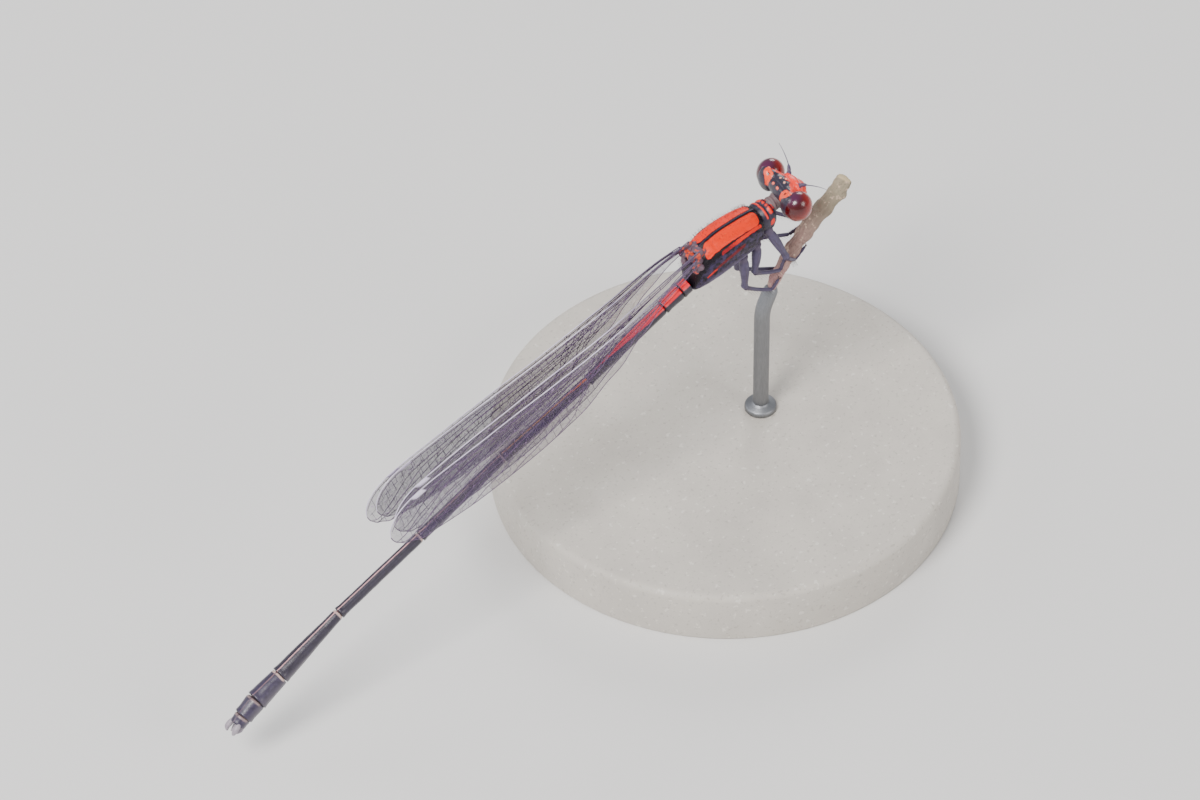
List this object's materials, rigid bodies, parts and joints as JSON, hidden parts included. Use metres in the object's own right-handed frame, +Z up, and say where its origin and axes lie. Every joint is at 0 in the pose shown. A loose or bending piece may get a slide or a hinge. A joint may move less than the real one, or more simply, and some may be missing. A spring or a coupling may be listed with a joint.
{
  "type": "damselfly model",
  "caption": "Life-size still model of a male orange-red threadtail damselfly gripping a short cut leaf stalk, wings closed, on a small disc stand.",
  "frame": {"origin": "centre of the underside of the round stand base", "axes": "+Z up, +X along the body towards the head, +Y towards the insect's left"},
  "size_m": [0.0443, 0.024, 0.0191],
  "materials": {
    "head_shell": "satin cuticle, salmon red with black marks",
    "eye": "glossy dark red",
    "dark_cuticle": "violet-black with a pale bloom",
    "neck_skin": "matt grey-brown",
    "chest": "satin orange-red with black stripes",
    "crimson_ring": "satin crimson with black sides",
    "dark_ring": "satin violet-black with pale joints",
    "wing_film": "smoky violet film with silvery veins",
    "leaf_stalk": "dry pinkish-brown bark",
    "stand_disc": "honed pale stone",
    "stand_metal": "brushed"
  },
  "bodies": {
    "root": {"abdomen_1": "crimson_ring", "abdomen_10": "dark_ring", "abdomen_2": "crimson_ring", "abdomen_3": "crimson_ring", "abdomen_4": "dark_ring", "abdomen_5": "dark_ring", "abdomen_6": "dark_ring", "abdomen_7": "dark_ring", "abdomen_8": "dark_ring", "abdomen_9": "dark_ring", "antenna_left": "dark_cuticle", "antenna_right": "dark_cuticle", "eye_left": "eye", "eye_right": "eye", "forewing_left": "wing_film", "forewing_right": "wing_film", "head": "head_shell", "hindwing_left": "wing_film", "hindwing_right": "wing_film", "leg_front_left": "dark_cuticle", "leg_front_right": "dark_cuticle", "leg_hind_left": "dark_cuticle", "leg_hind_right": "dark_cuticle", "leg_middle_left": "dark_cuticle", "leg_middle_right": "dark_cuticle", "neck": "neck_skin", "perch_stalk": "leaf_stalk", "prothorax": "chest", "stand_base": "stand_disc", "stand_rod": "stand_metal", "thorax": "chest"}
  },
  "joints": []
}
